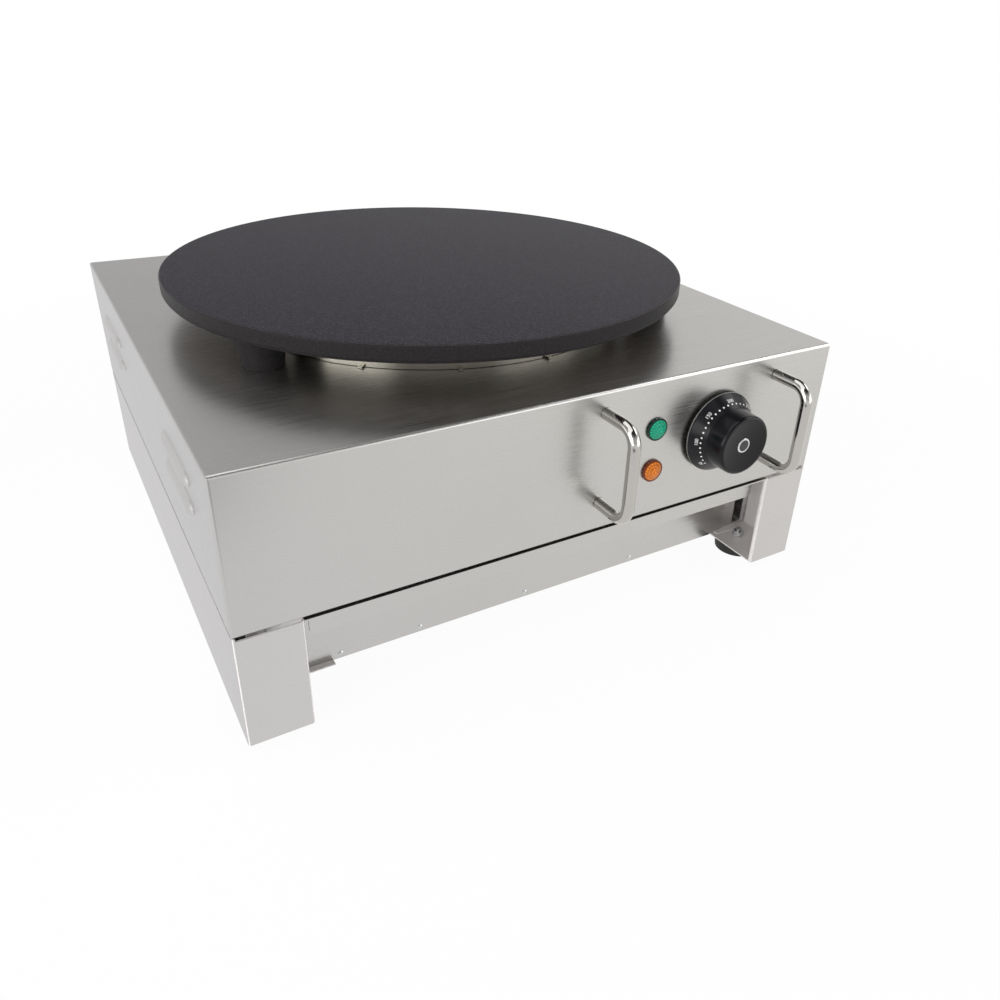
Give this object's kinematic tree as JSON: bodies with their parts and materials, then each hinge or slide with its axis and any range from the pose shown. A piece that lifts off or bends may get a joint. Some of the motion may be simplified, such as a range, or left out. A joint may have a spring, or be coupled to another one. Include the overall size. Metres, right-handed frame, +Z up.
{
  "type": "electric crepe maker",
  "caption": "Countertop crepe maker: round cast griddle on a stainless cabinet with a dial, signal lights and bow handles.",
  "frame": {"origin": "on the worktop, under the middle of the overall box (the rubber feet stand on z = 0)", "axes": "+Z up, -Y towards the front panel with the dial, +X to the user's right"},
  "size_m": [0.461, 0.504, 0.2296],
  "materials": {
    "cast_griddle": "fine-grained dark cast surface",
    "stainless_sheet": "brushed stainless sheet",
    "polished_rod": "polished round bar",
    "zinc_plate": "zinc-plated steel",
    "bright_aluminium": "bright rolled sheet",
    "element_sheath": "heat-darkened tube",
    "sensor_copper": "plain drawn copper",
    "mineral_fibre": "pressed fibre board",
    "foot_rubber": "matt black rubber",
    "green_lens": "clear green moulding",
    "amber_lens": "clear amber moulding",
    "black_plastic": "satin black moulding",
    "disc_foil": "plain satin disc",
    "dial_print": "white printed marks",
    "terminal_ceramic": "glazed off-white",
    "terminal_brass": "turned brass",
    "thermostat_case": "moulded case"
  },
  "bodies": {
    "cabinet": {"griddle_plate": "cast_griddle", "plate_bolts": "zinc_plate", "plate_washers": "zinc_plate", "heating_elements": "element_sheath", "element_clamp": "zinc_plate", "clamp_stud": "zinc_plate", "clamp_nut": "zinc_plate", "sensor_bulb": "sensor_copper", "insulation_disc": "mineral_fibre", "reflector_pan": "bright_aluminium", "top_cover": "stainless_sheet", "chassis_pan": "stainless_sheet", "base_left": "stainless_sheet", "base_right": "stainless_sheet", "kick_panel": "stainless_sheet", "bottom_plate": "stainless_sheet", "rear_panel": "stainless_sheet", "rubber_feet": "foot_rubber", "foot_screws": "zinc_plate", "foot_nuts": "zinc_plate", "left_handle": "polished_rod", "right_handle": "polished_rod", "handle_screws": "zinc_plate", "handle_washers": "zinc_plate", "green_lens": "green_lens", "amber_lens": "amber_lens", "light_bodies": "black_plastic", "light_nuts": "black_plastic", "thermostat_body": "thermostat_case", "thermostat_screws": "zinc_plate", "terminal_block": "terminal_ceramic", "terminal_screws": "terminal_brass", "cable_gland": "black_plastic", "gland_locknut": "black_plastic", "chassis_screws": "zinc_plate", "kick_rivets": "zinc_plate", "bottom_screws": "zinc_plate", "rear_panel_screws": "zinc_plate", "cover_screws": "zinc_plate"},
    "knob": {"thermostat_shaft": "terminal_brass", "dial_skirt": "black_plastic", "knob_cap": "black_plastic", "cap_disc": "disc_foil"}
  },
  "joints": [
    {"name": "thermostat_turn", "type": "hinge", "parent": "cabinet", "child": "knob", "pos_m": [0.1215, -0.21627, 0.147], "axis": [0, 1, 0], "range_deg": [-90, 180]}
  ]
}
